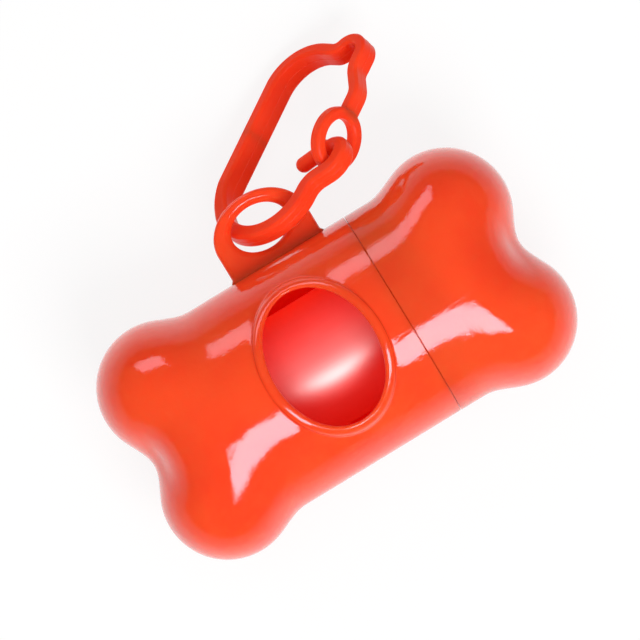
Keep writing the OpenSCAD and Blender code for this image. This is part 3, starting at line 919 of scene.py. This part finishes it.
def film():
    look = Look("bag_film")
    place = look.place()
    bands = look.noise(place, BANDS_SIZE, 2, stretch=BANDS_STRETCH)
    color = look.mix_color(bands, (0.92, 0.024, 0.013, 1), (0.84, 0.014, 0.010, 1))
    rough = 0.7 + 0.1 * bands
    normal = look.bump(bands, 0.03 * mm)
    normal = look.bump(look.noise(place, CRINKLES, 2), 0.005 * mm, normal)
    return look.finish("Principled BSDF", {
        "Base Color": color, "Roughness": rough, "Normal": normal, "IOR": 3.0,
        "Coat Weight": 1.0, "Coat Roughness": 0.4, "Coat IOR": 2.5,
        # The emission is a painted glow: the film gives off red light of its own, though it is no lamp.
        "Emission Color": (1.0, 0.02, 0.012, 1), "Emission Strength": 0.26})

film_look = film()
count_nodes(film_look)

# %% [markdown]
# The core is a tube of plain grey-brown card. Card shows short fibres, so a noise drawn out along
# the tube mixes two browns and raises the surface a little. It is fully matt.

# %% Card of the core
FIBRES = 0.8 * mm
FIBRE_STRETCH = (0.3, 1.0, 1.0)

def card():
    look = Look("core_card")
    fibre = look.noise(look.place(), FIBRES, 4, stretch=FIBRE_STRETCH)
    color = look.mix_color(fibre, (0.42, 0.30, 0.19, 1), (0.55, 0.42, 0.29, 1))
    return look.finish("Principled BSDF", {
        "Base Color": color, "Roughness": 0.85, "Normal": look.bump(fibre, 0.05 * mm)})

card_look = card()
count_nodes(card_look)

# %% [markdown]
# The floor is a sheet of white paper. Its own shade keeps the soft shadow, and a share of plain white
# for the camera and for reflections stands for the bright backdrop of the photograph. In reflections
# the white fades with the distance, so that a mirrored floor has no hard edge on the lobes.

# %% Floor
FLOOR_HALF = 0.6
PAPER_WHITE = 0.85
FADE_REACH = 0.4
FADE_STOPS = [(0.12, 1), (0.3, 0.5), (0.7, 0.12), (1, 0.04)]
bm = bmesh.new()
bmesh.ops.create_grid(bm, x_segments=1, y_segments=1, size=FLOOR_HALF)
floor = finished("floor", bm, closed=False)

def paper():
    look = Look("floor_paper")
    in_camera = look.node("ShaderNodeLightPath", output="Is Camera Ray")
    in_gloss = look.node("ShaderNodeLightPath", output="Is Glossy Ray")
    far = look.node("ShaderNodeVectorMath", {0: look.place()}, output="Value", operation="LENGTH")
    fade = look.ramp(far / FADE_REACH, FADE_STOPS)
    strength = 1 + (fade - 1) * in_gloss
    white = look.node("ShaderNodeEmission", {"Color": (1, 1, 1, 1), "Strength": strength})
    shade = Field(look.tree, look.tree.nodes["Principled BSDF"].outputs[0])
    both = look.node("ShaderNodeMixShader", {0: in_camera * PAPER_WHITE + in_gloss, 1: shade, 2: white})
    look.finish("Principled BSDF", {"Base Color": (0.92, 0.92, 0.92, 1), "Roughness": 0.9,
                                    "Specular IOR Level": 0.1})
    return look.finish("Material Output", {"Surface": both})

floor.data.materials.append(paper())
count_nodes(floor.data.materials[0])

# %% [markdown]
# Two softboxes give the highlights of the photograph: a large one over the lower long side of the
# bone, and a flat, weaker one far down on the tab's side. A dim overhead sheet fills the shade and
# shows in no reflection. Area lamps are used because the shape of a softbox is what glossy plastic
# mirrors. Energy follows from the radiance and the area, so a box can change size at one brightness.

# %% Softboxes
def softbox(name, azimuth, from_top, far, width, height, radiance, shift=0.0):
    """An area lamp that faces the bone, from an azimuth and an angle from straight above."""
    azimuth, from_top = math.radians(azimuth), math.radians(from_top)
    away = Vector((math.sin(from_top) * math.cos(azimuth), math.sin(from_top) * math.sin(azimuth),
                   math.cos(from_top)))
    lamp = bpy.data.lights.new(name, "AREA")
    lamp.shape = "RECTANGLE"
    lamp.size, lamp.size_y = width, height
    lamp.energy = radiance * math.pi * width * height
    obj = bpy.data.objects.new(name, lamp)
    obj.location = Vector((shift, 0, axis_z)) + away * far
    obj.rotation_euler = (-away).to_track_quat("-Z", "Y").to_euler()
    scene.collection.objects.link(obj)
    print(name, round(lamp.energy, 2), "W")
    return obj

softbox("key_softbox", -90, 33, 0.9, 0.45, 0.41, 10.5)
softbox("fill_softbox", 90, 71, 0.9, 0.52, 0.285, 3, shift=-0.14)
overhead = softbox("overhead_sheet", 0, 0, 1.3, 1.0, 1.0, 1.05)
overhead.visible_glossy = False
overhead.visible_camera = False

# %% [markdown]
# The world is plain light from all around. It is white to the camera, soft grey for the shade, and
# nearly dark in reflections, because the plastic in the photograph mirrors a dark room between the
# softboxes. The light path says which kind of ray asks.

# %% World
SKY_SOFT, SKY_SEEN_IN_GLOSS = 0.36, 0.06
world = bpy.data.worlds.new("studio")
scene.world = world
sky = Look("studio", world)
in_camera = sky.node("ShaderNodeLightPath", output="Is Camera Ray")
in_gloss = sky.node("ShaderNodeLightPath", output="Is Glossy Ray")
level = SKY_SOFT + (SKY_SEEN_IN_GLOSS - SKY_SOFT) * in_gloss + (1 - SKY_SOFT) * in_camera
sky.finish("Background", {"Color": (1, 1, 1, 1), "Strength": level})
count_nodes(world)

# %% [markdown]
# Each piece gets one material. The standard view transform shows the colours as they are set, without
# the softer contrast of a film look.

# %% Each piece gets its finish
for obj, look in ((case_shell, shell), (cap_shell, shell), (clip_lower, clip_look),
                  (clip_upper, clip_look), (bag_roll, film_look), (card_core, card_look)):
    obj.data.materials.clear()
    obj.data.materials.append(look)
    print(obj.name, "is made of", look.name)
scene.view_settings.view_transform = "Standard"
